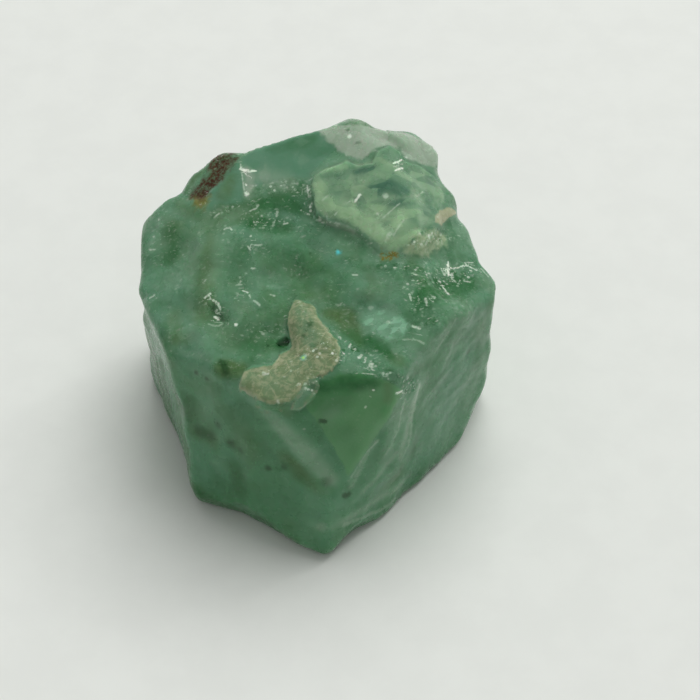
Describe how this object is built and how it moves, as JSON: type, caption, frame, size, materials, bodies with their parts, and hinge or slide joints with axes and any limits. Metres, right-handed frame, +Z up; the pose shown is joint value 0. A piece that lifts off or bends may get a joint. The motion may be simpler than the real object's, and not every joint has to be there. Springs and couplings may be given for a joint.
{
  "type": "emerald crystal",
  "caption": "Rough emerald crystal: a stubby translucent green prism with a fractured, sloping top, smaller pale crystals grown on it, and a broken flat foot.",
  "frame": {"origin": "under the middle of the crystal's outline, on the surface that it rests on", "axes": "+Z up, out of the broken top; -Y is the front, with the triangular window face; +X is the crystal's right as seen from the front"},
  "size_m": [0.0246, 0.0258, 0.0188],
  "materials": {
    "emerald": "gloss"
  },
  "bodies": {
    "root": {"emerald_crystal": "emerald"}
  },
  "joints": []
}
